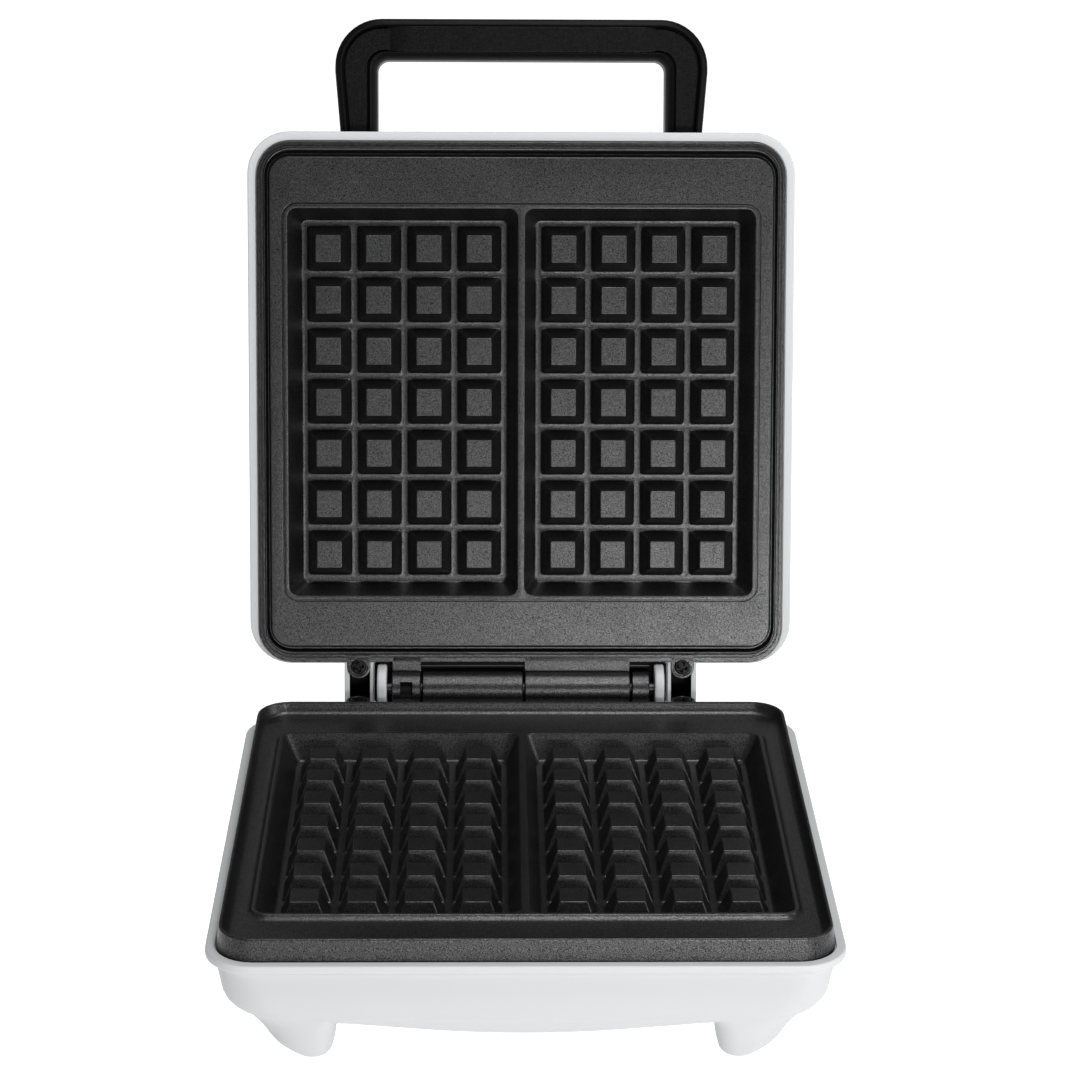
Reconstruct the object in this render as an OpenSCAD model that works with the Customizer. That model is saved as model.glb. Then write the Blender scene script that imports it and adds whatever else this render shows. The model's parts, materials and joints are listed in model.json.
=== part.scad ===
// Twin waffle maker, shown open.
// Millimetres, +Z up, +X to the user's right, the user stands at -Y.
// The origin is on the table, under the middle of the open machine.
// Lid parts are drawn closed, about the hinge axis, and in_lid() swings them open.
// A distance called r is measured forwards from the hinge axis, so y = -r there.

/* [Opening] */
// Angle that the lid opens to, counted from closed
lid_open = 103.85; // [95:0.05:108]
// Height of the hinge axis above the table
axis_h = 60; // [58:0.5:66]

/* [Casting outline] */
// Half width of both cooking plates
plate_hw = 126.3; // [124:0.1:128]
// Plate edge nearest the hinge
plate_near = 13.6; // [13:0.1:15]
// Plate edge farthest from the hinge
plate_far = 262.6; // [260:0.1:264]
// Corner radius of the plates
plate_r = 16; // [12:0.5:18]

/* [Waffle pattern] */
// Column spacing
peg_px = 24; // [23.5:0.1:24.5]
// Row spacing
peg_py = 24.44; // [24:0.02:24.8]
// Distance from the centre line to the middle of each waffle
block_x = 56.2; // [55.5:0.1:57]
// Distance from the hinge axis to the first row
row_first = 65.2; // [64.5:0.1:66]
// Peg height
peg_h = 10.5; // [8:0.5:11]
// How far the peg tops lie below the waffle rim
peg_drop = 1.6; // [1:0.1:2.5]

/* [Housing] */
// Lip of the housings beyond the plate edge
lip_out = 4.5; // [3:0.1:6]
// Wall thickness of the mouldings
wall = 2.6; // [2:0.1:3]
// Top of the closed lid above the hinge axis
lid_top = 38; // [34:0.5:40]

/* [Handle] */
// Half width of the handle
handle_hw = 89; // [80:0.5:95]
// Outer edge of the handle, from the hinge axis
handle_far = 321.2; // [312:0.2:326]
// Width of the handle bar
handle_bar = 19.6; // [16:0.2:22]

/* [Hinge] */
// Radius of the hinge pin
pin_r = 3; // [2.5:0.1:3.5]
// Radial running clearance on the pin
pin_gap = 0.05; // [0.02:0.01:0.1]
// Outer radius of the knuckles
knuckle_r = 8; // [7:0.1:8.2]

/* [Hidden] */
$fn = 64;
hull_fn = 32;
skin = 0.05;

// Levels about the hinge axis, lid closed
rim_z = -4;                      // top of the lower waffle rim
seat_gap = 0.2;                  // gap between the two waffle rims
floor_z = rim_z - peg_drop - peg_h;
base_rim_z = -0.7;               // top of the lower plate's outer rim
channel_z = -6;                  // overflow channel
base_lip_z = -10;                // top of the lower housing
plate_floor = 2.6;               // casting thickness under the waffle floor
plate_back = floor_z - plate_floor;
lid_face_z = -2.6;
lid_flange_z = 0.4;
lid_lip_z = 2.6;

// Waffle cavities
cav_near = 45.6;
cav_far = 231;
cav_out = 111.5;
cav_in = 1.7;
cav_slope_x = 6;
cav_slope_y = 5.4;
rim_w = 2;
peg_top = [11.7, 12.6];
peg_base = [20.9, 21.3];
rows = 7;
cols = 4;

// Housing outline
shell_hw = plate_hw + lip_out;
shell_near = 11.8;
shell_far = plate_far + lip_out + 0.3;
shell_r = 20;
mouth_gap = 0.5;                 // gap round the plates in the housing mouth

// The lid's handle is the rearmost point of the open machine
handle_z0 = 10;
handle_z1 = 32;
handle_leg_x = handle_hw - handle_bar / 2;
handle_screw_z = 21;
rear_y = -handle_far * cos(lid_open) + handle_z1 * sin(lid_open);
axis_y = (shell_far - rear_y) / 2;

// Hinge knuckles, from the user's left: lid, base, lid, base
knuckle_lid = [[-62.2, -48.2], [1.9, 52.9]];
knuckle_base = [[-47.4, 1.1], [53.7, 62.2]];
cheek_in = 64.7;
cheek_out = 69.3;
web_z = [-8, -2];
ear_x = 78.4;
ear_r = 10.2;
ear_rad = 5.65;
base_ear_z = -2;
leg_in = 70.5;
leg_out = 85.3;
leg_wall = 2.5;

// Heating elements
rod_r = 3.3;
rod_x = 56;
rod_near = 34;
rod_bend = 30;
rod_far = 205;
lead_r = 1.3;
lead_y = -26.5;
clamp_rows = [96, 168];

// Feet
foot_x = 88;
foot_front = 246;
foot_rear = 34;

// ---------- placing ----------

module in_base() {
    translate([0, axis_y, axis_h])
        children();
}

module in_lid() {
    translate([0, axis_y, axis_h])
        rotate([-lid_open, 0, 0])
            children();
}

// ---------- shared shapes ----------

// Rounded rectangle from x0 to x1 and from r0 to r1 in front of the hinge axis
module pad2d(x0, x1, r0, r1, rad) {
    translate([x0 + rad, -r1])
        square([x1 - x0 - 2 * rad, r1 - r0]);
    translate([x0, -r1 + rad])
        square([x1 - x0, r1 - r0 - 2 * rad]);
    for (x = [x0 + rad, x1 - rad], y = [-r0 - rad, -r1 + rad])
        translate([x, y])
            circle(r = rad);
}

// Slab of that outline from z0 to z1, inset all round
module slab(hw, r0, r1, rad, z0, z1, inset = 0) {
    translate([0, 0, z0])
        linear_extrude(z1 - z0)
            pad2d(-hw + inset, hw - inset, r0 + inset, r1 - inset, rad - inset);
}

module plate_slab(z0, z1, inset = 0) {
    slab(plate_hw, plate_near, plate_far, plate_r, z0, z1, inset);
}

module plate_ring(z0, z1, outer, inner) {
    difference() {
        plate_slab(z0, z1, outer);
        plate_slab(z0 - 1, z1 + 1, inner);
    }
}

module shell_slab(z0, z1, inset = 0) {
    slab(shell_hw, shell_near, shell_far, shell_r, z0, z1, inset);
}

// Four corner discs of a housing section; the children of a hull
module section_discs(z, ix, iy, rad) {
    for (x = [-1, 1] * (shell_hw - ix - rad))
        for (r = [shell_near + iy + rad, shell_far - iy - rad])
            translate([x, -r, z])
                cylinder(r = rad, h = 0.1, $fn = hull_fn);
}

// One truncated pyramid of the waffle pattern, with its root sunk 1 mm into the floor
module peg() {
    t = peg_top / 2;
    w = peg_base / 2 + (peg_base - peg_top) / 2 / peg_h;
    polyhedron(
        points = [
            [-w[0], -w[1], -1], [w[0], -w[1], -1], [w[0], w[1], -1], [-w[0], w[1], -1],
            [-t[0], -t[1], peg_h], [t[0], -t[1], peg_h], [t[0], t[1], peg_h], [-t[0], t[1], peg_h]
        ],
        faces = [[0, 1, 2, 3], [4, 7, 6, 5], [0, 4, 5, 1], [1, 5, 6, 2], [2, 6, 7, 3], [3, 7, 4, 0]]
    );
}

// All the pegs on a floor; they point down when tilt is 180
module pegs(z_floor, tilt) {
    for (side = [-1, 1], c = [0:cols - 1], n = [0:rows - 1])
        translate([side * block_x + (c - (cols - 1) / 2) * peg_px, -row_first - n * peg_py, z_floor])
            rotate([tilt, 0, 0])
                peg();
}

// One waffle cavity; its sloping walls carry on 1 mm past the rim
module cavity(side, z_floor, z_rim) {
    over = 1 + 1 / abs(z_rim - z_floor);
    hull()
        for (t = [0, over], x = [0, 1], y = [0, 1]) {
            rad = 3 + 2 * t;
            ix = (1 - t) * (cav_slope_x - (x == 0 ? 1 : 0)) + rad;
            iy = (1 - t) * cav_slope_y + rad;
            px = x == 0 ? cav_in + ix : cav_out - ix;
            pr = y == 0 ? cav_near + iy : cav_far - iy;
            translate([side * px, -pr, z_floor + t * (z_rim - z_floor)])
                cylinder(r = rad, h = 0.02, center = true, $fn = hull_fn);
        }
}

// Cylinder along X between two stations on the hinge axis
module barrel(x0, x1, r) {
    translate([x0, 0, 0])
        rotate([0, 90, 0])
            cylinder(r = r, h = x1 - x0);
}

module box(x0, x1, r0, r1, z0, z1) {
    translate([x0, -r1, z0])
        cube([x1 - x0, r1 - r0, z1 - z0]);
}

// Screw ear of a plate, beside the hinge; gap grows it into the room round one
module ear(side, z0, z1, gap = 0) {
    w = ear_rad + gap;
    translate([side * ear_x, -ear_r, z0])
        cylinder(r = w, h = z1 - z0);
    box(side * ear_x - w, side * ear_x + w, ear_r, plate_near + 3, z0, z1);
}

// Pan head screw with a cross recess: head up, top of the head at z = 0
module cross_screw(head_r, head_h, shank_r, length) {
    slot = head_r * 1.15;
    difference() {
        translate([0, 0, -head_h])
            cylinder(r = head_r, h = head_h);
        for (a = [0, 90])
            rotate([0, 0, a])
                translate([-slot / 2, -head_r * 0.14, -head_h * 0.6])
                    cube([slot, head_r * 0.28, head_h]);
    }
    translate([0, 0, -head_h - length])
        cylinder(r = shank_r, h = length + skin);
}

// Tubular element: a hairpin loop with a straight front run
module element(z) {
    for (side = [-1, 1]) {
        translate([side * rod_x, -rod_near, z])
            rotate([90, 0, 0])
                cylinder(r = rod_r, h = rod_far - rod_bend - rod_near, $fn = 32);
        translate([side * (rod_x - rod_bend), -(rod_far - rod_bend), z])
            rotate([0, 0, side > 0 ? -90 : 180])
                rotate_extrude(angle = 90, $fn = 64)
                    translate([rod_bend, 0])
                        circle(r = rod_r, $fn = 32);
        translate([side * rod_x, -rod_near + 9, z])
            rotate([90, 0, 0])
                cylinder(r = 1.4, h = 10, $fn = 24);
    }
    translate([-(rod_x - rod_bend), -rod_far, z])
        rotate([0, 90, 0])
            cylinder(r = rod_r, h = 2 * (rod_x - rod_bend), $fn = 32);
}

// Ceramic beads on the element's cold ends
module insulators(z) {
    for (side = [-1, 1])
        translate([side * rod_x, -rod_near + 6, z])
            rotate([90, 0, 0])
                difference() {
                    cylinder(r = 4.4, h = 5.8, $fn = 32);
                    translate([0, 0, -1])
                        cylinder(r = 1.5, h = 8, $fn = 24);
                }
}

clamp_len = 34;
clamp_w = 12;
clamp_t = 1.4;
boss_r = 3.6;

// Saddle bars that press the element against the plate; dir is -1 below, 1 above
module clamps(z_back, dir) {
    far = z_back + dir * (2 * rod_r + 0.2);
    for (side = [-1, 1], r = clamp_rows)
        difference() {
            translate([0, 0, min(far, far + dir * clamp_t)])
                linear_extrude(clamp_t)
                    translate([side * rod_x - clamp_len / 2, -r - clamp_w / 2])
                        square([clamp_len, clamp_w]);
            for (x = [-1, 1])
                translate([side * rod_x + x * 11, -r, far - 3])
                    cylinder(r = 1.9, h = 6, $fn = 24);
        }
}

// Screws through the clamps into the bosses
module clamp_screws(z_back, dir) {
    top = z_back + dir * (2 * rod_r + 0.2 + clamp_t + 1.6);
    for (side = [-1, 1], r = clamp_rows, x = [-1, 1])
        translate([side * rod_x + x * 11, -r, top])
            rotate([dir < 0 ? 180 : 0, 0, 0])
                cross_screw(3, 1.6, 1.5, 7);
}

module clamp_bosses(z_back, dir) {
    h = 2 * rod_r + 0.2;
    for (side = [-1, 1], r = clamp_rows, x = [-1, 1])
        translate([side * rod_x + x * 11, -r, dir > 0 ? z_back - 1 : z_back - h])
            difference() {
                cylinder(r = boss_r, h = h + 1, $fn = 32);
                translate([0, 0, dir > 0 ? h - 5.5 : -1])
                    cylinder(r = 1.55, h = 7.5, $fn = 24);
            }
}

// Sheet metal pan behind a plate, cut away where the element comes out
module reflector(z_floor, z_edge) {
    t = 0.6;
    lo = min(z_floor, z_edge);
    hi = max(z_floor, z_edge);
    up = z_edge > z_floor;
    difference() {
        slab(112, 40, 236, 8, lo, hi);
        slab(112, 40, 236, 8, up ? lo + t : lo - 1, up ? hi + 1 : hi - t, t);
        for (side = [-1, 1])
            box(side * rod_x - 6, side * rod_x + 6, 36, 48, lo + (up ? 3 : -1), hi + (up ? 1 : -3));
    }
}

// Insulated lead along a chain of points
module lead(pts) {
    for (i = [0:len(pts) - 2]) {
        v = pts[i + 1] - pts[i];
        translate(pts[i])
            rotate([0, acos(v[2] / norm(v)), atan2(v[1], v[0])])
                cylinder(r = lead_r, h = norm(v), $fn = 16);
    }
    for (i = [1:len(pts) - 2])
        translate(pts[i])
            sphere(r = lead_r + 0.06, $fn = 16);
}

// ---------- base ----------

// Level, side inset, front and rear inset and corner radius of each section of the bowl
bowl = [
    [-14.5, 4.4, 4.2, 16], [-27, 5.5, 5.5, 18], [-35, 6.9, 6.9, 22],
    [-39.5, 10.4, 8.6, 27], [-42.8, 38, 13, 34], [-46.8, 63, 20, 34]
];
bowl_floor = -46.8;
keel_drop = 3.7;                 // depth of the keel below the floor, on the centre line
keel_arc = 432;                  // radius of its bow from side to side

module bowl_body(inset, z_shift) {
    hull()
        for (s = bowl)
            section_discs(s[0] + z_shift, s[1] + inset, s[2] + inset, s[3]);
}

// Keel under the floor of the bowl, bowed from side to side and cut away for the cover
module keel() {
    low = bowl_floor - keel_drop;
    intersection() {
        slab(62, shell_near + 18, shell_far - 18, 28, low - 1, bowl_floor + 0.6);
        translate([0, 0, low + keel_arc])
            rotate([90, 0, 0])
                cylinder(r = keel_arc, h = shell_far, $fn = 720);
    }
}

// Foot: a flared post under each corner of the bowl
module foot_post(side, r, inward) {
    hull() {
        translate([side * foot_x, -r, -58.4])
            cylinder(r = 8.4, h = 0.1, $fn = hull_fn);
        translate([side * (foot_x + 3.2), -r - inward * 0.4, -54])
            cylinder(r = 12, h = 0.1, $fn = hull_fn);
        translate([side * (foot_x + 10), -r - inward, -42.8])
            cylinder(r = 18.5, h = 0.1, $fn = hull_fn);
    }
}

inlet_z = -29;
cover_hw = 56;
cover_near = 84;
cover_far = 208;

module cover_holes(r_hole, z0, z1) {
    for (x = [-1, 1] * (cover_hw - 7), r = [cover_near + 7, cover_far - 7])
        translate([x, -r, z0])
            cylinder(r = r_hole, h = z1 - z0, $fn = 32);
}

module base_shell() {
    color("white")
        in_base()
            difference() {
                union() {
                    difference() {
                        union() {
                            shell_slab(-14, base_lip_z);
                            bowl_body(0, 0);
                            for (side = [-1, 1]) {
                                foot_post(side, foot_rear, 6);
                                foot_post(side, foot_front, -6);
                            }
                        }
                        slab(plate_hw, plate_near, plate_far, plate_r, -12, base_lip_z + 1, -mouth_gap);
                        bowl_body(wall + 0.6, wall);
                    }
                    tower_solid();
                    cover_ledge();
                    keel();
                    translate([0, -26, inlet_z])
                        rotate([-90, 0, 0])
                            cylinder(r = 11, h = 12);
                }
                plate_slab(-12, 2, -mouth_gap);
                tower_cuts();
                ear_boss_holes();
                cover_opening();
                translate([0, -30, inlet_z])
                    rotate([-90, 0, 0])
                        cylinder(r = 6.05, h = 30);
            }
}

// Hinge tower and the bosses under the lower plate's ears
module tower_solid() {
    tower_back = 12.4;
    box(-cheek_out, cheek_out, -tower_back, 20, -16, -11);
    for (side = [-1, 1]) {
        x0 = side > 0 ? cheek_in : -cheek_out;
        translate([x0, 0, 0])
            rotate([0, 90, 0])
                cylinder(r = 9, h = cheek_out - cheek_in);
        box(x0, x0 + cheek_out - cheek_in, -9, 9, -16, 0);
        box(side * ear_x - 4.6, side * ear_x + 4.6, 5.8, 22, -32, base_ear_z - 3.4);
    }
    // rear wall of the tower, with rounded top corners
    translate([0, tower_back, 0])
        rotate([90, 0, 0])
            linear_extrude(3) {
                translate([-cheek_out, -16])
                    square([2 * cheek_out, 20]);
                translate([-cheek_out + 5, -16])
                    square([2 * cheek_out - 10, 25]);
                for (x = [-1, 1] * (cheek_out - 5))
                    translate([x, 4])
                        circle(r = 5);
            }
}

module tower_cuts() {
    barrel(-cheek_in + 0.01, cheek_in - 0.01, knuckle_r + 0.8);
    barrel(-cheek_out - 1, cheek_out + 1, pin_r + pin_gap);
    for (x = [-cheek_out - 1, cheek_out - 1.3])
        barrel(x, x + 2.3, 4.4);
}

module ear_boss_holes() {
    for (side = [-1, 1])
        translate([side * ear_x, -ear_r, -20])
            cylinder(r = 1.6, h = 18, $fn = 32);
}

// Land round the opening in the floor of the bowl
module cover_ledge() {
    slab(cover_hw + 3.5, cover_near - 5, cover_far + 5, 9, bowl_floor + 0.2, bowl_floor + 5.4);
}

module cover_opening() {
    z = bowl_floor;
    slab(cover_hw + 0.4, cover_near - 0.4, cover_far + 0.4, 4.4, z - keel_drop - 1, z + 1.6);
    slab(cover_hw - 14, cover_near + 14, cover_far - 14, 3, z, z + 7);
    cover_holes(1.45, z, z + 5);
}

module base_bottom_cover() {
    z = bowl_floor - 0.6;
    color("gainsboro")
        in_base()
            difference() {
                slab(cover_hw, cover_near, cover_far, 4, z, z + 2.15);
                cover_holes(1.8, z - 1, z + 4);
                cover_holes(3.8, z - 1, z + 0.9);
                for (n = [-4:4])
                    box(n * 8 - 1.5, n * 8 + 1.5, 120, 172, z - 1, z + 4);
            }
}

module bottom_cover_screws() {
    color("silver")
        in_base()
            for (x = [-1, 1] * (cover_hw - 7), r = [cover_near + 7, cover_far - 7])
                translate([x, -r, bowl_floor - 0.85])
                    rotate([180, 0, 0])
                        cross_screw(3.4, 1.1, 1.4, 4.4);
}

module foot_pads() {
    color("lightgray")
        in_base()
            for (x = [-1, 1] * foot_x, r = [foot_rear, foot_front])
                translate([x, -r, -axis_h])
                    rotate_extrude()
                        polygon([[0, 0], [6.6, 0], [7.4, 0.8], [7.4, 1.55], [0, 1.55]]);
}

// Black channel behind the knuckles, which closes the gap under the open lid
module hinge_liner() {
    color([0.08, 0.08, 0.08])
        in_base()
            translate([0, 9.3, 0])
                rotate([90, 0, 0])
                    linear_extrude(0.9) {
                        translate([-cheek_in + 0.15, -10.9])
                            square([2 * cheek_in - 0.3, 21]);
                        translate([-cheek_out, 9.1])
                            square([2 * cheek_out, 2.9]);
                    }
}

module lower_plate() {
    color([0.13, 0.13, 0.14])
        in_base() {
            difference() {
                union() {
                    plate_slab(channel_z - 3, channel_z);
                    plate_ring(-11.8, channel_z, 0, 2.6);
                    plate_ring(channel_z, base_rim_z, 0.5, 2.6);
                    slab(cav_out + rim_w, cav_near - rim_w, cav_far + rim_w, 7, plate_back, rim_z);
                    clamp_bosses(plate_back, -1);
                    for (k = knuckle_base) {
                        barrel(k[0], k[1], knuckle_r);
                        box(k[0], k[1], 0, plate_near + 2, web_z[0], web_z[1]);
                    }
                    for (side = [-1, 1])
                        ear(side, base_ear_z - 3.2, base_ear_z);
                }
                for (side = [-1, 1])
                    cavity(side, floor_z, rim_z);
                barrel(-90, 90, pin_r + pin_gap);
                for (side = [-1, 1])
                    translate([side * ear_x, -ear_r, 0]) {
                        translate([0, 0, base_ear_z - 1.4])
                            cylinder(r = 4.5, h = 4);
                        translate([0, 0, -12])
                            cylinder(r = 2.1, h = 12, $fn = 32);
                    }
            }
            pegs(floor_z, 0);
        }
}

module lower_plate_screws() {
    color([0.2, 0.2, 0.2])
        in_base()
            for (side = [-1, 1])
                translate([side * ear_x, -ear_r, base_ear_z + 0.5])
                    rotate([0, 0, side * 20])
                        cross_screw(3.75, 1.9, 1.55, 14);
}

module lower_heating_element() {
    color("dimgray")
        in_base()
            element(plate_back - rod_r - 0.1);
}

module lower_element_insulators() {
    color("ivory")
        in_base()
            insulators(plate_back - rod_r - 0.1);
}

module lower_element_clamps() {
    color("silver")
        in_base()
            clamps(plate_back, -1);
}

module lower_clamp_screws() {
    color("silver")
        in_base()
            clamp_screws(plate_back, -1);
}

pan_z = -31;

module lower_heat_reflector() {
    color("silver")
        in_base()
            difference() {
                reflector(pan_z, plate_back - 0.2);
                spacer_places(-32)
                    cylinder(r = 2, h = 3, $fn = 32);
            }
}

module spacer_places(z) {
    for (x = [-50, 50], r = [66, 222])
        translate([x, -r, z])
            children();
}

// Sleeves that hold the reflector off the floor of the bowl
module reflector_spacers() {
    z0 = bowl_floor + wall + 0.05;
    color("gainsboro")
        in_base()
            spacer_places(z0)
                difference() {
                    cylinder(r = 4, h = pan_z - 0.05 - z0, $fn = 32);
                    translate([0, 0, -1])
                        cylinder(r = 1.7, h = 16, $fn = 24);
                }
}

module thermal_fuse() {
    color("tan")
        in_base()
            translate([-14, -60, plate_back - 2.3]) {
                rotate([0, 90, 0])
                    cylinder(r = 2, h = 28, $fn = 32);
                translate([-8, 0, 0])
                    rotate([0, 90, 0])
                        cylinder(r = 0.7, h = 44, $fn = 16);
            }
}

module fuse_clip() {
    color("silver")
        in_base()
            difference() {
                box(-5, 5, 54, 66, plate_back - 5.6, plate_back - 0.05);
                box(-6, 6, 54.8, 65.2, plate_back - 4.6, plate_back + 1);
                box(-1.6, 1.6, 58, 62, plate_back - 6, plate_back - 4);
            }
}

block_z = bowl_floor + wall + 0.1;

module terminal_block() {
    color("ivory")
        in_base()
            difference() {
                box(-18, 18, 40, 56, block_z, block_z + 7);
                for (n = [-1, 0, 1])
                    translate([n * 11, -30, block_z + 3]) {
                        rotate([90, 0, 0])
                            cylinder(r = 1.8, h = 40, $fn = 32);
                        translate([0, -18, 1])
                            cylinder(r = 2.2, h = 4, $fn = 32);
                    }
            }
}

module terminal_screws() {
    color("gold")
        in_base()
            for (n = [-1, 0, 1])
                translate([n * 11, -48, block_z + 4.9])
                    cylinder(r = 2.1, h = 1.4, $fn = 32);
}

module earth_tag() {
    color("goldenrod")
        in_base()
            difference() {
                union() {
                    translate([-86, -132, plate_back - 0.9])
                        cylinder(r = 4, h = 0.8, $fn = 32);
                    box(-88, -84, 116, 132, plate_back - 0.9, plate_back - 0.1);
                }
                translate([-86, -132, plate_back - 2])
                    cylinder(r = 2, h = 3, $fn = 32);
            }
}

// Moulded bush that the mains cord would pass through
module cord_gland() {
    color([0.15, 0.15, 0.15])
        in_base()
            translate([0, 0, inlet_z])
                rotate([-90, 0, 0])
                    difference() {
                        union() {
                            translate([0, 0, -28.5])
                                cylinder(r = 6, h = 17.5);
                            translate([0, 0, -13.95])
                                cylinder(r = 8.5, h = 2.95);
                            translate([0, 0, -28.5])
                                cylinder(r = 7.4, h = 2.45);
                        }
                        translate([0, 0, -30])
                            cylinder(r = 3.6, h = 22);
                    }
}

// Insulated leads from the terminal block up to the element's cold ends
module base_leads() {
    z_block = block_z + 3;
    z_pin = plate_back - rod_r - 1.55;
    color("firebrick")
        in_base()
            for (side = [-1, 1])
                lead([
                    [side * 11, -42, z_block], [side * 11, -36, z_block], [side * 18, -32, -34.6],
                    [side * rod_x, -30, -34.6], [side * rod_x, lead_y, -30], [side * rod_x, lead_y, z_pin]
                ]);
}

module hinge_pin() {
    color("silver")
        in_base()
            barrel(-cheek_out + 0.3, cheek_out - 0.3, pin_r);
}

module pin_retaining_rings() {
    color("silver")
        in_base()
            for (x = [-cheek_out + 0.4, cheek_out - 1.2])
                difference() {
                    barrel(x, x + 0.8, 4.2);
                    barrel(x - 1, x + 2, pin_r + 0.02);
                }
}

// ---------- lid ----------

// Level, side inset, front and rear inset and corner radius of each section of the lid
dome = [[5.8, 3.4, 3.4, 17], [16, 4, 4, 18], [26, 8, 7.4, 22], [33, 16, 14, 28], [lid_top - 0.1, 34, 30, 34]];

module dome_body(inset, z_shift) {
    hull()
        for (s = dome)
            section_discs(s[0] + z_shift, s[1] + inset, s[2] + inset, s[3]);
}

// Hollow legs that carry the lid round the hinge
module lid_leg(side) {
    x0 = side > 0 ? leg_in : -leg_out;
    translate([x0, 0, 0]) {
        translate([0, 0, 10])
            rotate([0, 90, 0])
                cylinder(r = 9, h = leg_out - leg_in);
        translate([0, -24, 1])
            cube([leg_out - leg_in, 33, 9]);
        translate([0, -24, 5])
            cube([leg_out - leg_in, 24, 14]);
    }
}

module lid_leg_void(side) {
    x0 = (side > 0 ? leg_in : -leg_out) + leg_wall;
    w = leg_out - leg_in - 2 * leg_wall;
    translate([x0, 0, 0]) {
        translate([0, 0, 10])
            rotate([0, 90, 0])
                cylinder(r = 9 - leg_wall, h = w);
        translate([0, -20, -1])
            cube([w, 29 - leg_wall, 11]);
        translate([0, -20, 5])
            cube([w, 20, 14 - leg_wall]);
    }
}

lamp_x = 26;
lamp_r = 214;
thermostat_r = 148;
bracket_x = 19.2;

module lid_shell() {
    color("white")
        in_lid() {
            difference() {
                union() {
                    difference() {
                        union() {
                            shell_slab(lid_lip_z, lid_lip_z + 4);
                            dome_body(0, 0);
                        }
                        plate_slab(0, 3.5, -mouth_gap);
                        dome_body(wall + 0.6, -wall);
                    }
                    for (side = [-1, 1])
                        lid_leg(side);
                }
                plate_slab(-2, 3.5, -mouth_gap);
                box(-leg_in + 0.3, leg_in - 0.3, 11, 15.1, 2, 6.7);
                for (side = [-1, 1]) {
                    lid_leg_void(side);
                    ear(side, -2, 3.5, 0.3);
                    translate([side * lamp_x, -lamp_r, 25])
                        cylinder(r = 4.2, h = 20);
                    translate([side * handle_leg_x, -240, handle_screw_z])
                        rotate([90, 0, 0]) {
                            cylinder(r = 4.4, h = 18.6);
                            cylinder(r = 1.7, h = 40);
                        }
                }
            }
            for (side = [-1, 1])
                leg_boss(side);
        }
}

// Boss in each leg that takes the upper plate's screw
module leg_boss(side) {
    translate([side * ear_x, -ear_r, 4])
        difference() {
            cylinder(r = 4, h = 13.5, $fn = 32);
            translate([0, 0, -1])
                cylinder(r = 1.6, h = 12, $fn = 32);
        }
}

module upper_plate() {
    peak = lid_flange_z + 3;
    rim = rim_z + seat_gap;
    ceiling = rim + peg_drop + peg_h;
    groove_z = 2;
    color([0.13, 0.13, 0.14])
        in_lid() {
            difference() {
                union() {
                    plate_slab(groove_z, peak);
                    plate_ring(lid_flange_z, groove_z + 0.6, 0, 3.7);
                    plate_ring(-0.6, groove_z + 0.6, 3.2, 4.2);
                    plate_slab(lid_face_z, groove_z + 0.6, 6.3);
                    slab(cav_out + rim_w, cav_near - rim_w, cav_far + rim_w, 7, rim, ceiling + plate_floor);
                    clamp_bosses(ceiling + plate_floor, 1);
                    for (k = knuckle_lid) {
                        barrel(k[0], k[1], knuckle_r);
                        box(k[0], k[1], 0, plate_near + 2, lid_flange_z, peak);
                    }
                    for (side = [-1, 1])
                        ear(side, lid_flange_z, peak);
                }
                for (side = [-1, 1])
                    cavity(side, ceiling, rim);
                barrel(-90, 90, pin_r + pin_gap);
                for (x = [-1, 1] * bracket_x)
                    translate([x, -thermostat_r, ceiling + 1])
                        cylinder(r = 1.25, h = 4, $fn = 24);
                box(-58.2, -52.2, -10, 0.6, -9, -4);
                for (side = [-1, 1])
                    translate([side * ear_x, -ear_r, 0]) {
                        translate([0, 0, -2])
                            cylinder(r = 4.5, h = lid_flange_z + 3.4);
                        translate([0, 0, -2])
                            cylinder(r = 2.1, h = 12, $fn = 32);
                    }
            }
            pegs(ceiling, 180);
        }
}

upper_back = rim_z + seat_gap + peg_drop + peg_h + plate_floor;

module upper_plate_screws() {
    color([0.2, 0.2, 0.2])
        in_lid()
            for (side = [-1, 1])
                translate([side * ear_x, -ear_r, -0.3])
                    rotate([180, 0, side * 15])
                        cross_screw(3.75, 2.05, 1.55, 12);
}

module upper_heating_element() {
    color("dimgray")
        in_lid()
            element(upper_back + rod_r + 0.1);
}

module upper_element_insulators() {
    color("ivory")
        in_lid()
            insulators(upper_back + rod_r + 0.1);
}

module upper_element_clamps() {
    color("silver")
        in_lid()
            clamps(upper_back, 1);
}

module upper_clamp_screws() {
    color("silver")
        in_lid()
            clamp_screws(upper_back, 1);
}

module upper_heat_reflector() {
    color("silver")
        in_lid()
            difference() {
                reflector(24.6, upper_back + 0.2);
                translate([0, -thermostat_r, 20])
                    cylinder(r = 9, h = 10);
            }
}

// Snap disc thermostat on the back of the upper plate
module thermostat() {
    color("saddlebrown")
        in_lid()
            translate([0, -thermostat_r, upper_back + 0.1]) {
                cylinder(r = 8, h = 3.2);
                translate([0, 0, 3.2])
                    cylinder(r = 6.4, h = 4);
                for (x = [-4, 4])
                    translate([x - 1.6, -0.4, 7])
                        cube([3.2, 0.8, 4]);
            }
}

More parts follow.
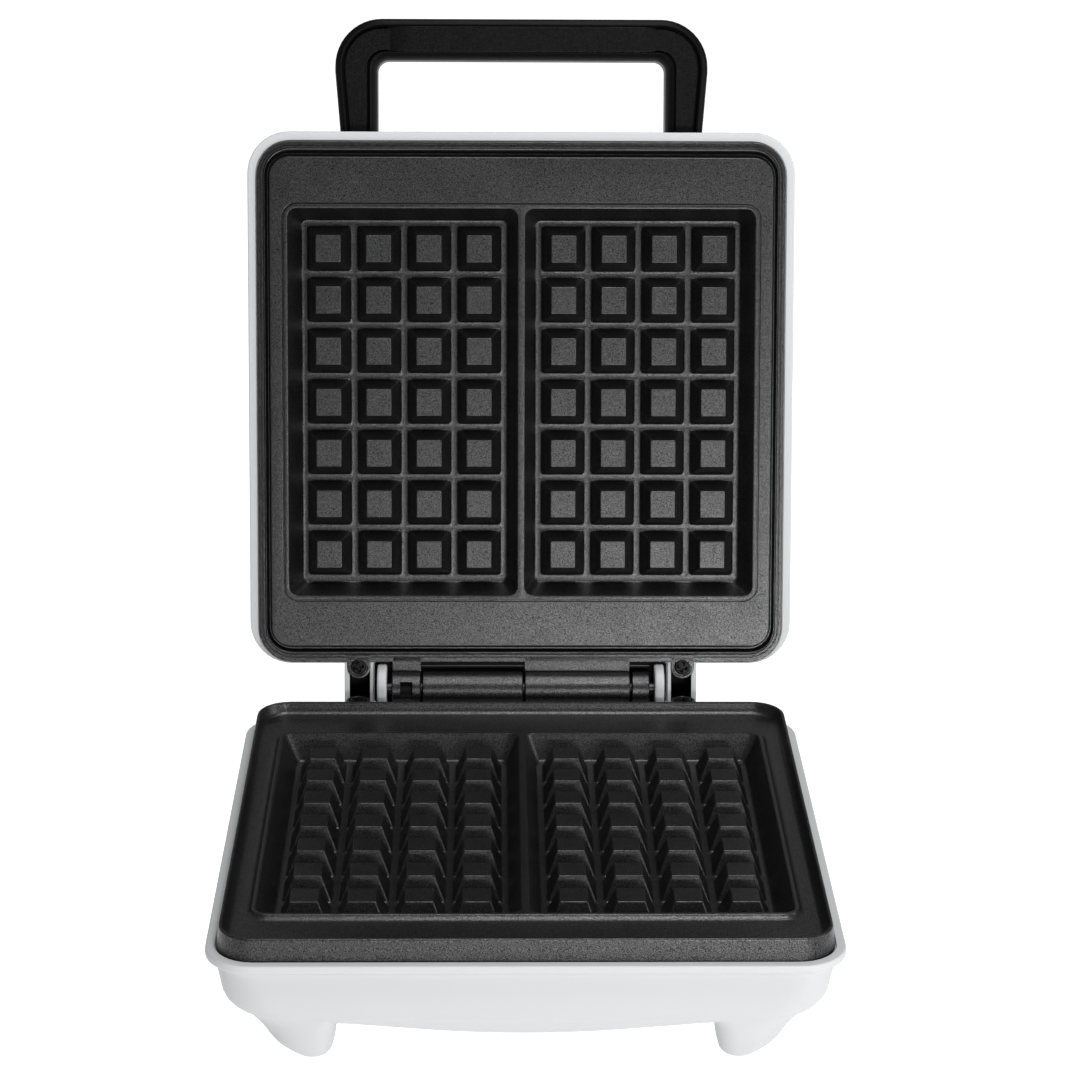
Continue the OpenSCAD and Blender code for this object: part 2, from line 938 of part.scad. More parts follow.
module thermostat_bracket() {
    near = thermostat_r - 9;
    far = thermostat_r + 9;
    z = upper_back + 0.1;
    color("silver")
        in_lid()
            difference() {
                union() {
                    box(-16, 16, near, far, z + 3.3, z + 4.1);
                    for (x = [-16, 15.2])
                        box(x, x + 0.8, near, far, z, z + 4.1);
                    for (x = [-22, 15.2])
                        box(x, x + 6.8, near, far, z, z + 0.8);
                }
                translate([0, -thermostat_r, upper_back])
                    cylinder(r = 6.6, h = 10);
                for (x = [-1, 1] * bracket_x)
                    translate([x, -thermostat_r, upper_back - 1])
                        cylinder(r = 1.4, h = 3, $fn = 24);
            }
}

module thermostat_screws() {
    color("silver")
        in_lid()
            for (x = [-1, 1] * bracket_x)
                translate([x, -thermostat_r, upper_back + 2.4])
                    cross_screw(2.2, 1.4, 1.2, 2.6);
}

// Insulated leads from the element's cold ends to the thermostat
module lid_leads() {
    z_pin = upper_back + rod_r + 1.55;
    color("firebrick")
        in_lid()
            for (side = [-1, 1])
                lead([
                    [side * rod_x, lead_y, z_pin], [side * rod_x, lead_y, 21.5], [side * rod_x, -36, 26.6],
                    [side * 16, -70, 26.6], [side * 4, -thermostat_r + 4, 26.6],
                    [side * 4, -thermostat_r, 26.6], [side * 4, -thermostat_r, upper_back + 11.15]
                ]);
}

// Carrier behind the two indicator lenses
module indicator_housing() {
    color("whitesmoke")
        in_lid()
            difference() {
                box(-38, 38, 206, 222, 26.2, lid_top - wall - 0.05);
                for (side = [-1, 1])
                    translate([side * lamp_x, -lamp_r, 27.7])
                        cylinder(r = 4.4, h = 20);
                box(-16, 16, 200, 230, 26, 32);
            }
}

module lens(side) {
    in_lid()
        translate([side * lamp_x, -lamp_r, 0])
            rotate_extrude()
                polygon([
                    [0, 33.2], [4, 33.2], [4, lid_top + 0.4], [3.4, lid_top + 1], [0, lid_top + 1.3]
                ]);
}

module power_lens() {
    color("red")
        lens(-1);
}

module ready_lens() {
    color("limegreen")
        lens(1);
}

module indicator_lamps() {
    color("orange")
        in_lid()
            for (side = [-1, 1])
                translate([side * lamp_x, -lamp_r, 27.75]) {
                    cylinder(r = 2.2, h = 3, $fn = 32);
                    translate([0, 0, 3])
                        sphere(r = 2.2, $fn = 32);
                }
}

// ---------- handle ----------

// Outline of the handle, inset by d and starting at r0: an arch over the finger opening
module arch2d(d, r0) {
    difference() {
        pad2d(-handle_hw + d, handle_hw - d, 200, handle_far - d, 23 - d);
        pad2d(-handle_hw + handle_bar - d, handle_hw - handle_bar + d, 190, handle_far - handle_bar + d, 5.5 + d);
        translate([-handle_hw - 1, -r0])
            square([2 * handle_hw + 2, 80]);
    }
}

inlay_wall = 2.4;
inlay_z = handle_z0 + 5;
inlay_r = 264.5;

module handle() {
    color([0.12, 0.12, 0.12])
        in_lid()
            difference() {
                translate([0, 0, handle_z0])
                    linear_extrude(handle_z1 - handle_z0)
                        arch2d(0, 248);
                dome_body(-0.15, 0.15);
                translate([0, 0, handle_z0 - 1])
                    linear_extrude(inlay_z - handle_z0 + 1)
                        arch2d(inlay_wall, inlay_r);
                for (side = [-1, 1])
                    translate([side * handle_leg_x, -250, handle_screw_z])
                        rotate([90, 0, 0])
                            cylinder(r = 1.65, h = 26, $fn = 32);
            }
}

// Recessed in the arms, nearly level with the rim along the grip
module handle_inlay() {
    color([0.16, 0.16, 0.16])
        in_lid() {
            translate([0, 0, handle_z0 + 2.4])
                linear_extrude(inlay_z - handle_z0 - 2.45)
                    arch2d(inlay_wall + 0.1, inlay_r + 0.1);
            box(-61, 61, handle_far - handle_bar + inlay_wall + 0.1, handle_far - inlay_wall - 0.1,
                handle_z0 + 0.4, handle_z0 + 3);
        }
}

module handle_screws() {
    color("silver")
        in_lid()
            for (side = [-1, 1])
                translate([side * handle_leg_x, -256.5, handle_screw_z])
                    rotate([-90, 0, 0])
                        cross_screw(3.6, 2, 1.6, 16);
}

base_shell();
base_bottom_cover();
bottom_cover_screws();
foot_pads();
hinge_liner();
lower_plate();
lower_plate_screws();
lower_heating_element();
lower_element_insulators();
lower_element_clamps();
lower_clamp_screws();
lower_heat_reflector();
reflector_spacers();
thermal_fuse();
fuse_clip();
terminal_block();
terminal_screws();
earth_tag();
cord_gland();
base_leads();
hinge_pin();
pin_retaining_rings();
lid_shell();
upper_plate();
upper_plate_screws();
upper_heating_element();
upper_element_insulators();
upper_element_clamps();
upper_clamp_screws();
upper_heat_reflector();
thermostat();
thermostat_bracket();
thermostat_screws();
lid_leads();
indicator_housing();
power_lens();
ready_lens();
indicator_lamps();
handle();
handle_inlay();
handle_screws();
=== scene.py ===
import json
import math

import bmesh
import bpy
from mathutils import Matrix, Vector


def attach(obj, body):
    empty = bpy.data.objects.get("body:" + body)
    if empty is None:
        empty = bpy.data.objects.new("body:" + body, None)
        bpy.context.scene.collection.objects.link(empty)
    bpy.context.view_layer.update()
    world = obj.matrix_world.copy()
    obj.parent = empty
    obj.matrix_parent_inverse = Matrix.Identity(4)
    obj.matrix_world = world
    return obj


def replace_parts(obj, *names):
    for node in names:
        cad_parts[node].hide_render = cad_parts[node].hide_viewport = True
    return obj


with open("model.json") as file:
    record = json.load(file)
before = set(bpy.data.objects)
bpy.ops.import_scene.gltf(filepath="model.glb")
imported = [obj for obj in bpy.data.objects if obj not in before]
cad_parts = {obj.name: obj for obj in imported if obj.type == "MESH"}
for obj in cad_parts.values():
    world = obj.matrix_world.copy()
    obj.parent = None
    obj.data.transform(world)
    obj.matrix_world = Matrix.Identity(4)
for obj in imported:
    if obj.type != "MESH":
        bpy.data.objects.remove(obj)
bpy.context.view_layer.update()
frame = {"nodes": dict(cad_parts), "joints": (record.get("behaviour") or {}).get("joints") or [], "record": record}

# ---------------------------------------------------------------- frame
# Shapes are written in millimetres about the hinge axis: x to the right, r forwards, z up.
# The base is written as it stands and the lid as if it were closed.
hinge = frame["joints"][0]
AXIS = Vector(hinge["pos_m"])
OPEN = math.radians(hinge["range_deg"][1])
CO, SO = math.cos(OPEN), math.sin(OPEN)


def base_pt(p):
    return Vector((p[0] / 1000, AXIS.y + p[1] / 1000, AXIS.z + p[2] / 1000))


def lid_pt(p):
    y = p[1] * CO + p[2] * SO
    z = -p[1] * SO + p[2] * CO
    return Vector((p[0] / 1000, AXIS.y + y / 1000, AXIS.z + z / 1000))


# ---------------------------------------------------------------- camera and light
# The camera was solved from the plates' straight edges and peg grids; CAM is in millimetres.
CAM = Vector((-14.859, -1337.473, 555.227))
SENSOR, FOCAL = 36, 99.45
PITCH, YAW, ROLL = math.radians(19.699), math.radians(-1.018), math.radians(0.396)
right = Vector((math.cos(YAW), math.sin(YAW), 0))
ahead = Vector((
    -math.sin(YAW) * math.cos(PITCH),
    math.cos(YAW) * math.cos(PITCH),
    -math.sin(PITCH),
))
above = Vector((
    -math.sin(YAW) * math.sin(PITCH),
    math.cos(YAW) * math.sin(PITCH),
    math.cos(PITCH),
))
cam_x = right * math.cos(ROLL) + above * math.sin(ROLL)
cam_y = above * math.cos(ROLL) - right * math.sin(ROLL)
camera = bpy.data.objects.new("camera", bpy.data.cameras.new("camera"))
bpy.context.scene.collection.objects.link(camera)
turn = Matrix((cam_x, cam_y, -ahead)).transposed().to_4x4()
camera.matrix_world = Matrix.Translation(base_pt(CAM)) @ turn
camera.data.sensor_width = SENSOR
camera.data.lens = FOCAL
camera.data.clip_end = 20
camera.data.dof.use_dof = False
bpy.context.scene.camera = camera


def area(name, at, look, size, power, size_y=None):
    """Area lamp at a place, facing another; square, or a rectangle where size_y is given."""
    lamp = bpy.data.lights.new(name, "AREA")
    lamp.energy = power
    lamp.size = size
    if size_y:
        lamp.shape = "RECTANGLE"
        lamp.size_y = size_y
    o = bpy.data.objects.new(name, lamp)
    o.location = at
    o.rotation_euler = (Vector(look) - Vector(at)).to_track_quat("-Z", "Y").to_euler()
    o.visible_camera = False
    bpy.context.scene.collection.objects.link(o)


area("front_low", (0.38, -1.3, 0.13), (0.05, 0.05, 0.12), 0.8, 12.5, 0.26)
area("side", (1.4, -0.5, 0.6), (0, 0, 0.15), 0.8, 7)
area("top", (0.1, 0.0, 1.5), (0, 0, 0), 0.9, 9, 0.5)
area("top_front", (0.25, -0.6, 1.35), (0, -0.05, 0), 0.5, 9, 0.2)
world = bpy.data.worlds.new("studio")
world.use_nodes = True
world.node_tree.nodes["Background"].inputs["Color"].default_value = (1, 1, 1, 1)
world.node_tree.nodes["Background"].inputs["Strength"].default_value = 0.26
bpy.context.scene.world = world
bpy.context.scene.view_settings.view_transform = "Standard"


# ---------------------------------------------------------------- materials
MOTTLE_SIZE = 60.0
GRAIN_DEPTH = 0.00006


def material(name, color, rough, metal=0.0, grain=0.0, grain_size=900.0, fleck=None,
             fleck_size=2600.0, mottle=0.06, coat=0.0, glow=0.0, specular=0.5, sparkle=0.0):
    """Principled surface with a mottled colour, an uneven roughness and a fine grain in relief."""
    m = bpy.data.materials.new(name)
    m.use_nodes = True
    t = m.node_tree
    p = t.nodes["Principled BSDF"]
    p.inputs["Metallic"].default_value = metal
    p.inputs["Coat Weight"].default_value = coat
    p.inputs["Specular IOR Level"].default_value = specular
    where = t.nodes.new("ShaderNodeTexCoord")

    def noise(scale, detail):
        n = t.nodes.new("ShaderNodeTexNoise")
        n.inputs["Scale"].default_value = scale
        n.inputs["Detail"].default_value = detail
        t.links.new(where.outputs["Object"], n.inputs["Vector"])
        return n

    def spread(source, low, high, lo_at=0.3, hi_at=0.7):
        r = t.nodes.new("ShaderNodeMapRange")
        r.inputs["From Min"].default_value = lo_at
        r.inputs["From Max"].default_value = hi_at
        r.inputs["To Min"].default_value = low
        r.inputs["To Max"].default_value = high
        t.links.new(source.outputs["Fac"], r.inputs["Value"])
        return r

    broad = noise(MOTTLE_SIZE, 4)
    mix = t.nodes.new("ShaderNodeMix")
    mix.data_type = "RGBA"
    mix.inputs["A"].default_value = [c * (1 - mottle) for c in color] + [1]
    mix.inputs["B"].default_value = [min(1, c * (1 + mottle)) for c in color] + [1]
    t.links.new(broad.outputs["Fac"], mix.inputs["Factor"])
    out = mix.outputs["Result"]
    if fleck:
        dots = spread(noise(fleck_size, 2), 0, 1, 0.5, 0.66)
        over = t.nodes.new("ShaderNodeMix")
        over.data_type = "RGBA"
        over.inputs["B"].default_value = [*fleck, 1]
        t.links.new(dots.outputs["Result"], over.inputs["Factor"])
        t.links.new(out, over.inputs["A"])
        out = over.outputs["Result"]
    t.links.new(out, p.inputs["Base Color"])
    uneven = spread(broad, rough * 0.92, rough * 1.08)
    t.links.new(uneven.outputs["Result"], p.inputs["Roughness"])
    if grain:
        bump = t.nodes.new("ShaderNodeBump")
        bump.inputs["Strength"].default_value = grain
        bump.inputs["Distance"].default_value = GRAIN_DEPTH
        t.links.new(noise(grain_size, 3).outputs["Fac"], bump.inputs["Height"])
        t.links.new(bump.outputs["Normal"], p.inputs["Normal"])
    if sparkle:
        glint = noise(fleck_size * 1.25, 2)
        level = spread(glint, specular - sparkle, specular + sparkle, 0.37, 0.66)
        t.links.new(level.outputs["Result"], p.inputs["Specular IOR Level"])
    if glow:
        p.inputs["Emission Color"].default_value = (1, 1, 1, 1)
        p.inputs["Emission Strength"].default_value = glow
    return m


MATS = {
    "shell_white": material(
        "white_moulding", (0.405, 0.408, 0.413), 0.45, grain=0.1, grain_size=1400, mottle=0.01,
        specular=0.15),
    "pad_grey": material(
        "foot_rubber", (0.42, 0.42, 0.425), 0.6, grain=0.3, grain_size=700, mottle=0.03),
    "cover_grey": material("cover_moulding", (0.7, 0.7, 0.69), 0.55, grain=0.3, grain_size=1000),
    "nonstick": material(
        "nonstick_coating", (0.0014, 0.0014, 0.0016), 0.36, grain=0.85, grain_size=1900,
        fleck=(0.007, 0.007, 0.0068), fleck_size=2100, mottle=0.12, specular=0.54, sparkle=0.44),
    "black_steel": material(
        "blackened_steel", (0.004, 0.004, 0.0043), 0.42, specular=0.11, grain=0.2, mottle=0.15),
    "bright_steel": material("bright_steel", (0.6, 0.6, 0.6), 0.3, metal=1, grain=0.15, mottle=0.08),
    # Dark steel of the pin; the same material also paints shade on the strip over the tower's rear wall.
    "pin_steel": material(
        "pin_steel", (0.035, 0.035, 0.037), 0.35, metal=1, grain=0.1, mottle=0.08),
    "element_sheath": material(
        "oxidised_tube", (0.13, 0.14, 0.13), 0.5, metal=0.8, grain=0.4, mottle=0.25),
    "reflector_steel": material(
        "bright_sheet", (0.7, 0.7, 0.71), 0.2, metal=1, grain=0.1, mottle=0.05),
    "ceramic": material("ceramic", (0.82, 0.79, 0.7), 0.7, grain=0.3, mottle=0.06),
    "terminal_brass": material("brass", (0.7, 0.5, 0.2), 0.3, metal=1, grain=0.15, mottle=0.1),
    "fuse_body": material(
        "varnished_can", (0.6, 0.48, 0.3), 0.35, metal=0.6, grain=0.15, mottle=0.1),
    "phenolic": material("phenolic", (0.12, 0.055, 0.03), 0.4, grain=0.2, mottle=0.2),
    "lead_sleeve": material(
        "silicone_sleeve", (0.45, 0.05, 0.03), 0.55, grain=0.25, mottle=0.08),
    "gland_black": material("soft_bush", (0.02, 0.02, 0.02), 0.6, grain=0.3, mottle=0.1),
    "lens_red": material("red_lens", (0.5, 0.015, 0.01), 0.12, grain=0.05, mottle=0.1, coat=0.5),
    "lens_green": material(
        "green_lens", (0.03, 0.33, 0.06), 0.12, grain=0.05, mottle=0.1, coat=0.5),
    "lamp_glass": material("lamp", (0.8, 0.4, 0.15), 0.2, grain=0.05, mottle=0.1),
    "housing_natural": material(
        "natural_carrier", (0.75, 0.75, 0.72), 0.5, grain=0.2, mottle=0.04),
    "handle_black": material(
        "handle_moulding", (0.0025, 0.0025, 0.0026), 0.4, grain=0.5, grain_size=1500, mottle=0.12,
        specular=0.055),
    "inlay_black": material(
        "inlay_moulding", (0.002, 0.002, 0.0021), 0.45, grain=0.5, grain_size=1800, mottle=0.12,
        fleck=(0.007, 0.007, 0.007), fleck_size=2100, specular=0.075, sparkle=0.06),
    # Black moulding for the model's parts in this slot; the same black also paints shade in the knuckle window,
    # beside the cheeks and in the lid's legs.
    "liner_black": material(
        "liner_moulding_and_painted_shade", (0.004, 0.004, 0.004), 0.6, grain=0.3, grain_size=1200, mottle=0.1,
        specular=0.1),
}

for item in frame["record"]["subparts"]:
    node = frame["nodes"][item["node"]]
    node.data.materials.clear()
    node.data.materials.append(MATS[item["material_slot"]])


# ---------------------------------------------------------------- mesh building
def arc(cx, cy, rad, a0, a1, n):
    """Points along a circular arc, n steps from angle a0 to angle a1."""
    turns = [a0 + (a1 - a0) * i / n for i in range(n + 1)]
    return [(cx + rad * math.cos(a), cy + rad * math.sin(a)) for a in turns]


def rect(x0, x1, r0, r1, rad, z, n=7, m=1, lift=None):
    """Rounded rectangle as a loop of points, from x0 to x1 and r0 to r1.

    rad is one corner radius or four; each corner has n steps and each side m; lift adds
    height by place.
    """
    y0, y1 = -r1, -r0
    rad = rad if isinstance(rad, tuple) else (rad,) * 4
    corners = [(x1, y0, -1, 1, -90), (x1, y1, -1, -1, 0), (x0, y1, 1, -1, 90), (x0, y0, 1, 1, 180)]
    pts = []
    for (x, y, sx, sy, deg), r in zip(corners, rad):
        pts += arc(x + sx * r, y + sy * r, r, math.radians(deg), math.radians(deg + 90), n)
    out = []
    for i, p in enumerate(pts):
        out.append(p)
        if m > 1 and i % (n + 1) == n:
            q = pts[(i + 1) % len(pts)]
            out += [(p[0] + (q[0] - p[0]) * k / m, p[1] + (q[1] - p[1]) * k / m) for k in range(1, m)]
    return [(x, y, z + (lift(x, y) if lift else 0)) for x, y in out]


class Build:
    """Collects the points and faces of one piece, in millimetres, and makes its object."""

    def __init__(self):
        self.v = []
        self.f = []

    def loops(self, rings, start=False, end=False, closed=True):
        first = []
        for ring in rings:
            first.append(len(self.v))
            self.v += ring
        n = len(rings[0])
        for a, b in zip(first, first[1:]):
            for i in range(n if closed else n - 1):
                j = (i + 1) % n
                self.f.append((a + i, a + j, b + j, b + i))
        if start:
            self.f.append(tuple(range(first[0] + n - 1, first[0] - 1, -1)))
        if end:
            self.f.append(tuple(range(first[-1], first[-1] + n)))

    def box(self, x0, x1, r0, r1, z0, z1, c=0.4, rad=None):
        """Box with its edges eased by c and its upright edges rounded by rad."""
        rad = rad or c
        part = c * 0.3

        def level(d, least, z):
            return rect(x0 + d, x1 - d, r0 + d, r1 - d, max(rad - d, least), z, 4)

        self.loops([
            level(c, 0.01, z0),
            level(part, 0.02, z0 + part),
            level(0, 0, z0 + c),
            level(0, 0, z1 - c),
            level(part, 0.02, z1 - part),
            level(c, 0.01, z1),
        ], True, True)

    def barrel(self, profile, n):
        """Turned shape along the hinge axis: profile is a list of (x, radius)."""
        turns = [2 * math.pi * i / n for i in range(n)]
        self.loops([[(x, r * math.cos(a), r * math.sin(a)) for a in turns] for x, r in profile])

    def lathe(self, x, y, profile, n=40):
        """Turned shape about an upright axis: profile is a list of (radius, z)."""
        turns = [2 * math.pi * i / n for i in range(n)]
        self.loops([[(x + r * math.cos(a), y + r * math.sin(a), z) for a in turns]
                    for r, z in profile])

    def slab_x(self, outline, x0, x1, c=0.4):
        """Outline in (y, z) pushed along x from x0 to x1, with its rim eased by c."""
        cy = sum(p[0] for p in outline) / len(outline)
        cz = sum(p[1] for p in outline) / len(outline)

        def inset(d):
            out = []
            for y, z in outline:
                far = math.hypot(y - cy, z - cz) or 1
                out.append((y - (y - cy) / far * d, z - (z - cz) / far * d))
            return out

        steps = (
            (x0, c), (x0 + 0.13 * c, 0.5 * c), (x0 + 0.5 * c, 0.13 * c), (x0 + c, 0),
            (x1 - c, 0), (x1 - 0.5 * c, 0.13 * c), (x1 - 0.13 * c, 0.5 * c), (x1, c),
        )
        self.loops([[(x, y, z) for y, z in inset(d)] for x, d in steps], True, True)

    def object(self, name, place, body, slot, sharp=38):
        """Makes the piece, puts it on its body and slot, and shades it sharp above an angle."""
        mesh = bpy.data.meshes.new(name)
        mesh.from_pydata([place(p) for p in self.v], [], self.f)
        bm = bmesh.new()
        bm.from_mesh(mesh)
        bmesh.ops.remove_doubles(bm, verts=bm.verts, dist=0.000004)
        bmesh.ops.dissolve_degenerate(bm, edges=bm.edges, dist=0.000002)
        bmesh.ops.recalc_face_normals(bm, faces=bm.faces)
        bm.to_mesh(mesh)
        bm.free()
        mesh.shade_smooth()
        mesh.set_sharp_from_angle(angle=math.radians(sharp))
        mesh.materials.append(MATS[slot])
        o = bpy.data.objects.new(name, mesh)
        bpy.context.scene.collection.objects.link(o)
        even = o.modifiers.new("even", "WEIGHTED_NORMAL")
        even.keep_sharp = True
        even.weight = 100
        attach(o, body)
        return o


# ---------------------------------------------------------------- sizes
# HW is half a width, NEAR and FAR are distances from the hinge axis, R is a corner radius.
PLATE_HW, PLATE_NEAR, PLATE_FAR, PLATE_R = 126.3, 13.6, 262.6, 16
SHELL_HW, SHELL_NEAR, SHELL_FAR = 130.8, 11.8, 267.4
# Pitch of the pegs across and along, r of their first row, and x of each waffle's middle.
PITCH_X, PITCH_Y, ROW0, BLOCK_X = 24.0, 24.44, 65.2, 56.2
# x and r of the screws in the ears beside the hinge, and the knuckles' outer radius.
EAR_X, EAR_R, KNUCKLE_R = 78.4, 10.2, 8
# Steps in each corner of a housing loop and along each side.
CORNER_STEPS, SIDE_STEPS = 10, 16


def plate_loop(inset, z, ends=None, near=0.0):
    """Loop round a plate, inset from its outline, by ends along the near and far sides.

    near pushes the near side out.
    """
    ends = inset if ends is None else ends
    rad = PLATE_R - (inset + ends) / 2
    return rect(-PLATE_HW + inset, PLATE_HW - inset, PLATE_NEAR + ends - near, PLATE_FAR - ends, rad, z)


def rim_loop(out, z, rad):
    """Loop round both waffles, pushed outwards by out from the top edge of their common rim."""
    return rect(-113.5 - out, 113.5 + out, 43.4 - out, 233 + out, rad, z)


def waffles(b, rim, floor, top):
    """Both waffle cavities with their pegs; rim, floor and top are heights.

    The pegs rise from the floor towards the rim, which is up in z on the lower plate and
    down in z on the upper one.
    """
    up = 1 if rim > floor else -1
    for s in (-1, 1):
        def half(x0, x1, r0, r1, rad, z):
            xs = (x0, x1) if s > 0 else (-x1, -x0)
            return rect(*xs, r0, r1, rad, z)

        outer = (5.5, 5.5, 0.01, 0.01) if s > 0 else (0.01, 0.01, 5.5, 5.5)
        b.loops([
            half(0, 113.0, 43.9, 232.5, outer, rim),
            half(1.3, 111.9, 45.2, 231.4, 4.9, rim),
            half(1.55, 111.6, 45.5, 231.1, 4.6, rim - up * 0.12),
            half(1.8, 111.35, 45.7, 230.9, 4.4, rim - up * 0.5),
            half(6.4, 105.8, 50.4, 226.0, 3.0, floor + up * 0.9),
            half(6.75, 105.4, 50.8, 225.6, 2.6, floor + up * 0.25),
            half(7.3, 104.9, 51.3, 225.1, 2.2, floor),
            half(BLOCK_X - 2 * PITCH_X, BLOCK_X + 2 * PITCH_X,
                 ROW0 - PITCH_Y / 2, ROW0 + 6.5 * PITCH_Y, 0.01, floor),
        ])
        for c in range(4):
            for k in range(7):
                x = s * BLOCK_X + (c - 1.5) * PITCH_X
                r = ROW0 + k * PITCH_Y

                def cell(hx, hy, rad, z):
                    return rect(x - hx, x + hx, r - hy, r + hy, rad, z, 3)

                b.loops([
                    cell(12, 12.22, 0.01, floor),
                    cell(10.9, 11.1, 1.9, floor),
                    cell(10.45, 10.65, 1.5, floor + up * 0.18),
                    cell(10.15, 10.35, 1.25, floor + up * 0.6),
                    cell(6.12, 6.57, 0.75, top - up * 0.5),
                    cell(6.02, 6.47, 0.62, top - up * 0.22),
                    cell(5.84, 6.29, 0.5, top - up * 0.06),
                    cell(5.58, 6.03, 0.35, top),
                ], end=True)


def knuckles(b, spans, web, slot=None):
    """Hinge barrels with eased ends, joined to the plate by a web.

    slot is a window (x0, x1) cut in one barrel, lined by a black piece of its own that paints the shade inside the
    hole.
    """
    n = 54
    bore, eased, deep = 3.05, 7.5, 4.6
    first, last = 36, 44

    def row(x, rr, i0, i1):
        turns = [2 * math.pi * i / n for i in range(i0, i1 + 1)]
        return [(x, rr * math.cos(a), rr * math.sin(a)) for a in turns]

    for x0, x1 in spans:
        start = [(x0 + 0.05, bore), (x0 + 0.05, eased), (x0 + 0.5, KNUCKLE_R)]
        finish = [(x1 - 0.5, KNUCKLE_R), (x1 - 0.05, eased), (x1 - 0.05, bore)]
        if slot and x0 < slot[0] < x1:
            b.barrel(start + [(slot[0], KNUCKLE_R)], n)
            b.barrel([(slot[1], KNUCKLE_R)] + finish, n)
            b.loops([row(x, KNUCKLE_R, last, n + first) for x in slot], closed=False)
            section = (
                (slot[0], KNUCKLE_R), (slot[0], deep), (slot[1], deep), (slot[1], KNUCKLE_R),
            )
            # Painted shade: a black lining for the window, standing in for the dark inside of the hole.
            w = Build()
            w.loops([row(x, rr, first, last) for x, rr in section], closed=False)
            for i in (first, last):
                for x, rr in section:
                    w.v += row(x, rr, i, i)
                k = len(w.v)
                w.f.append((k - 4, k - 3, k - 2, k - 1))
            w.object("knuckle_window_shade", lid_pt, "lid", "liner_black")
        else:
            b.barrel(start + finish, n)
        low, high = web
        if high > 0:
            b.box(x0 + 0.1, x1 - 0.1, 9.2, PLATE_NEAR + 1.5, low, high, 0.2)
            low += 1.4
        b.box(x0 + 0.1, x1 - 0.1, 2, PLATE_NEAR + 1.5, low, high - 0.1, 0.3)


def ears(b, z_face, z_back, z_seat):
    """Screw ears beside the hinge, with a recess for each screw head."""
    ear_rad, recess, seat = 5.65, 4.6, 4.4
    for s in (-1, 1):
        x, r = s * EAR_X, EAR_R

        def outline(g, z):
            pts = [(px, py, z) for px, py in arc(x, -r, ear_rad - g, 0, math.pi, 20)]
            pts += [(x - ear_rad + g, -PLATE_NEAR - 3, z), (x + ear_rad - g, -PLATE_NEAR - 3, z)]
            return pts

        up = 1 if z_face > z_back else -1
        b.loops([
            outline(0.3, z_back),
            outline(0, z_back + up * 0.3),
            outline(0, z_face - up * 0.35),
            outline(0.1, z_face - up * 0.1),
            outline(0.4, z_face),
        ])
        ring = [(px, py, z_face) for px, py in arc(x, -r, recess, 0, math.pi, 20)]
        ring += [
            (x - recess * math.cos(0.9), -r - recess * math.sin(0.9), z_face),
            (x + recess * math.cos(0.9), -r - recess * math.sin(0.9), z_face),
        ]
        b.loops([outline(0.4, z_face), ring])
        b.lathe(x, -r, [(recess, z_face), (seat, z_face - up * 0.2), (seat, z_seat), (0.01, z_seat)])


def cross_ring(x, y, z, half, reach, turn):
    """Outline of a cross recess, with its arms 2 * half wide and reach long, in 48 points."""
    edge = math.degrees(math.atan2(half, reach))
    pts = []
    for arm in range(4):
        for a in (-45, -36, -27, -20, -edge, -edge / 2, 0, edge / 2, edge, 20, 27, 36):
            t = math.radians(a)
            d = reach / math.cos(t) if abs(a) <= edge else half / math.sin(abs(t))
            t += math.radians(turn + 90 * arm)
            pts.append((x + d * math.cos(t), y + d * math.sin(t), z))
    return pts


def pan_heads(name, place, body, z_top, up, turn):
    """Two pan head screws in the ears: a round head with an eased rim and a cross recess."""
    b = Build()
    steps = (-45, -36, -27, -20, -14, -7, 0, 7, 14, 20, 27, 36)
    head = (
        (1.3, 14), (1.5, 13.6), (1.5, 1.9), (3.6, 1.9), (3.72, 1.75), (3.72, 0.75),
        (3.66, 0.45), (3.45, 0.2), (3.2, 0.06), (3.0, 0),
    )
    recess = ((0, 0.85, 2.7), (0.1, 0.78, 2.63), (1.75, 0.55, 1.7))
    for s in (-1, 1):
        x = s * EAR_X
        turns = [math.radians(turn * s + 90 * arm + k) for arm in range(4) for k in steps]

        def ring(rad, depth):
            z = z_top - up * depth
            return [(x + rad * math.cos(a), -EAR_R + rad * math.sin(a), z) for a in turns]

        b.loops(
            [ring(rad, depth) for rad, depth in head]
            + [cross_ring(x, -EAR_R, z_top - up * depth, half, reach, turn * s)
               for depth, half, reach in recess],
            True, True)
    return b.object(name, place, body, "black_steel", sharp=32)


# ---------------------------------------------------------------- lower plate
# Sections of the plate's edge as (inset, z), then of the waffles' rim as (out, z, radius).
LOWER_EDGE = (
    (2.4, -11.5), (0.5, -11.5), (0.1, -11.2), (0, -10.6), (0.95, -1.6), (1.15, -1.0),
    (1.5, -0.72), (2.0, -0.7), (2.45, -0.85), (2.75, -1.4), (3.3, -3.2), (3.9, -4.6),
    (4.7, -5.6), (5.8, -6),
)
LOWER_RIM = (
    (3.2, -6, 9.5), (2.0, -5.85, 8.6), (1.0, -5.35, 7.8), (0.35, -4.7, 7.2),
    (0.0, -4.25, 6.6), (-0.2, -4.06, 6.2), (-0.5, -4.0, 5.5),
)
b = Build()
b.loops([plate_loop(*row) for row in LOWER_EDGE] + [rim_loop(*row) for row in LOWER_RIM])
waffles(b, -4.0, -16.1, -5.6)
knuckles(b, ((-47.4, 1.1), (53.7, 62.2)), (-8, -2))
ears(b, -2.0, -5.2, -3.4)
lower_plate = b.object("lower_plate_casting", base_pt, "base", "nonstick")
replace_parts(lower_plate, "lower_plate")
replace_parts(pan_heads("lower_plate_pan_heads", base_pt, "base", -1.5, 1, 20), "lower_plate_screws")
b = Build()
b.loops([
    plate_loop(2.4, -11.5), plate_loop(2.6, -9), rim_loop(0, -9, 6.6), rim_loop(0, -18.7, 6.6),
], end=True)
b.object("lower_plate_back", base_pt, "base", "nonstick")

